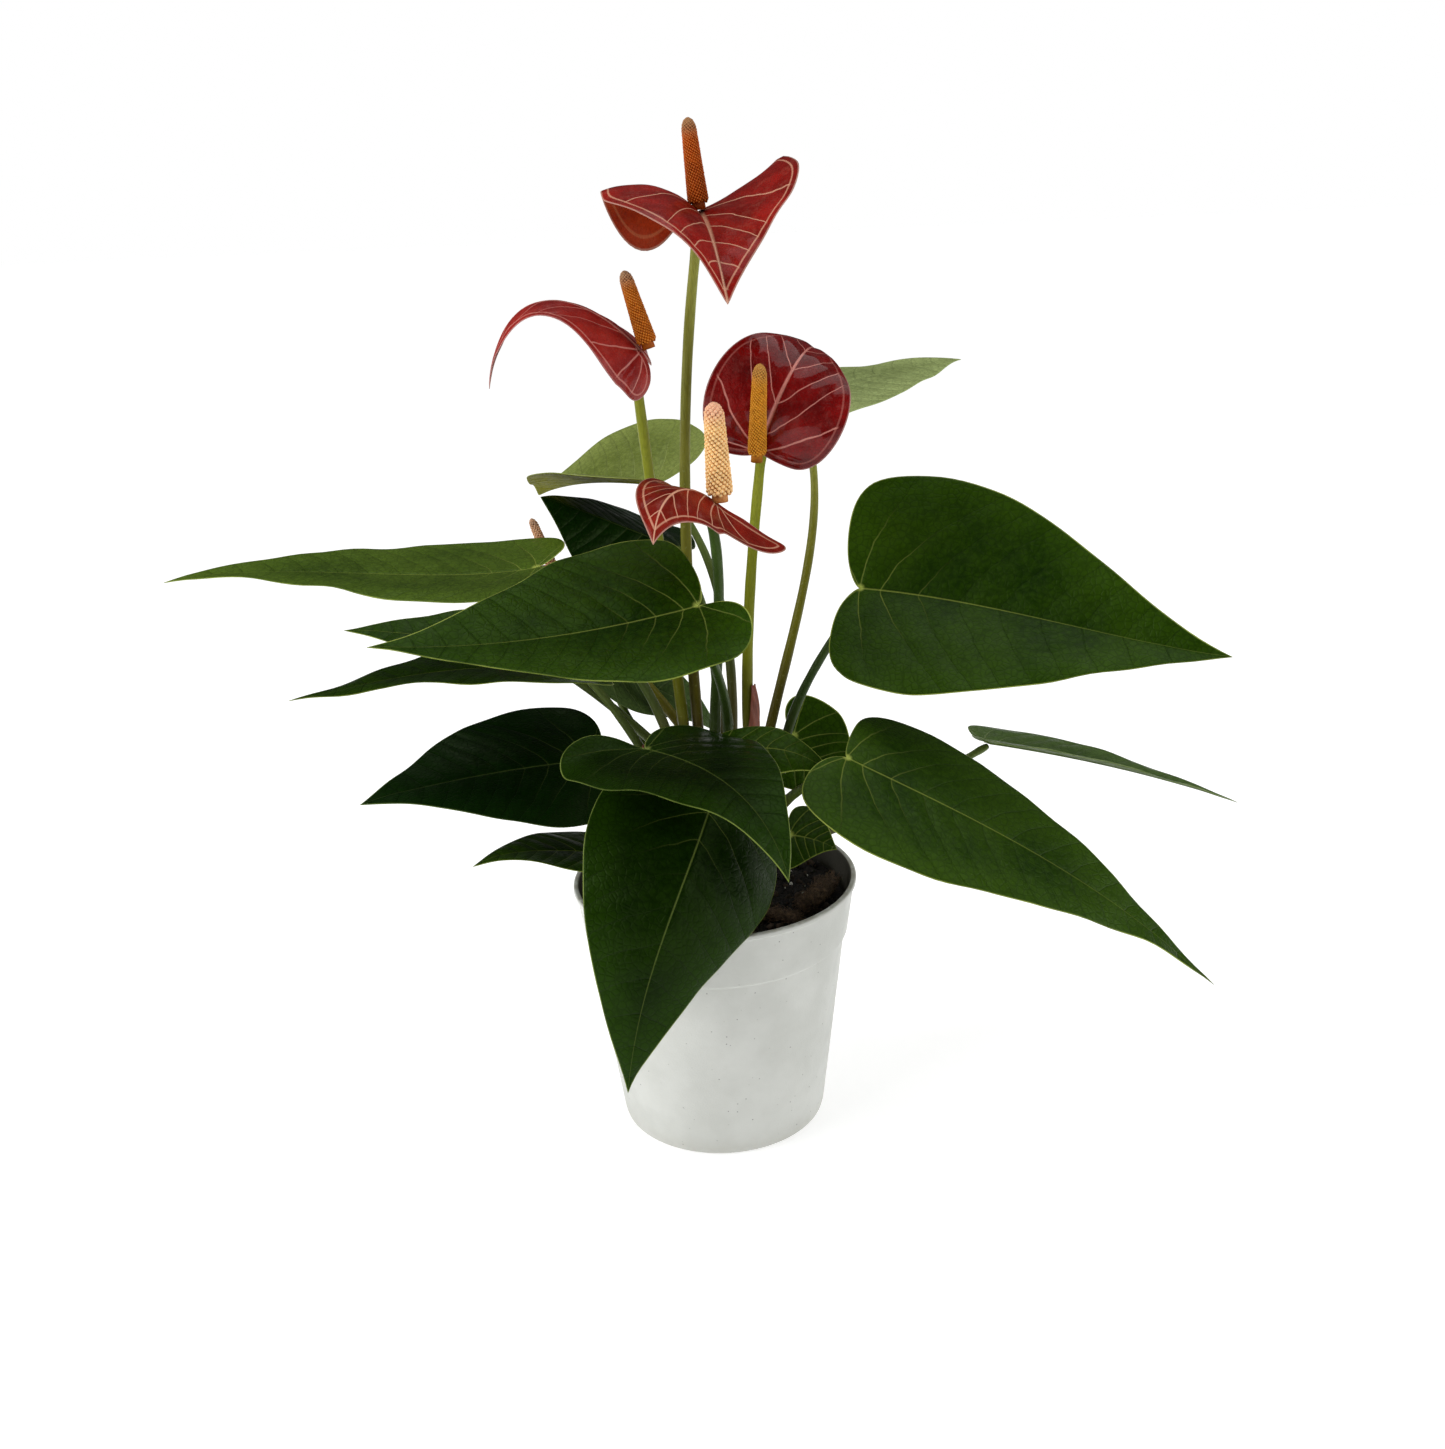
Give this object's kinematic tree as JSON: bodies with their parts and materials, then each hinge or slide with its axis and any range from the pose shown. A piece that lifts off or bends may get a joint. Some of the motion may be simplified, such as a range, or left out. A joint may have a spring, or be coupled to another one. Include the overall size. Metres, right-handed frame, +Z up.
{
  "type": "potted anthurium",
  "caption": "Potted anthurium plant: heart-shaped dark green leaves and red spathes with upright spadices on slender stalks, in a plain round tapered nursery pot.",
  "frame": {"origin": "centre of the pot's flat base, on the floor", "axes": "+Z up, -Y the plant's front, +X to the right seen from the front"},
  "size_m": [0.4411, 0.2101, 0.4085],
  "materials": {
    "pot": "matte, near-white with a faint green-grey cast and tiny dark specks",
    "growing_medium": "matte, near-black crumbly peat",
    "shoot": "matte brown stem bark",
    "husk": "matte fibrous coconut husk",
    "sheath": "satin, papery red-brown",
    "leaf": "satin dark green, pale yellow-green margin and midrib",
    "pale_leaf": "satin pale green",
    "petiole": "satin olive green",
    "peduncle": "satin yellow-green",
    "spathe": "glossy deep red with pale pink veins",
    "spadix": "matte orange-brown, finely bumpy",
    "pale_spadix": "matte pale peach to cream, bumpy"
  },
  "bodies": {
    "root": {"pot": "pot", "growing_medium": "growing_medium", "shoot_centre": "shoot", "shoot_right": "shoot", "shoot_back": "shoot", "leaf_01_blade": "leaf", "leaf_01_petiole": "petiole", "leaf_02_blade": "leaf", "leaf_02_petiole": "petiole", "leaf_03_blade": "leaf", "leaf_03_petiole": "petiole", "leaf_04_blade": "leaf", "leaf_04_petiole": "petiole", "leaf_05_blade": "leaf", "leaf_05_petiole": "petiole", "leaf_06_blade": "leaf", "leaf_06_petiole": "petiole", "leaf_07_blade": "leaf", "leaf_07_petiole": "petiole", "leaf_08_blade": "leaf", "leaf_08_petiole": "petiole", "leaf_09_blade": "leaf", "leaf_09_petiole": "petiole", "leaf_10_blade": "leaf", "leaf_10_petiole": "petiole", "leaf_11_blade": "leaf", "leaf_11_petiole": "petiole", "leaf_12_blade": "leaf", "leaf_12_petiole": "petiole", "leaf_13_blade": "leaf", "leaf_13_petiole": "petiole", "leaf_14_blade": "pale_leaf", "leaf_14_petiole": "petiole", "leaf_15_blade": "leaf", "leaf_15_petiole": "petiole", "leaf_16_blade": "pale_leaf", "leaf_16_petiole": "petiole", "leaf_17_blade": "leaf", "leaf_17_petiole": "petiole", "leaf_18_blade": "leaf", "leaf_18_petiole": "petiole", "flower_1_spathe": "spathe", "flower_1_spadix": "spadix", "flower_1_peduncle": "peduncle", "flower_2_spathe": "spathe", "flower_2_spadix": "spadix", "flower_2_peduncle": "peduncle", "flower_3_spathe": "spathe", "flower_3_spadix": "spadix", "flower_3_peduncle": "peduncle", "flower_4_spathe": "spathe", "flower_4_spadix": "pale_spadix", "flower_4_peduncle": "peduncle", "flower_5_spathe": "spathe", "flower_5_spadix": "pale_spadix", "flower_5_peduncle": "peduncle", "sheath_left": "sheath", "sheath_right": "sheath", "husk_long": "husk", "husk_block": "husk"}
  },
  "joints": []
}
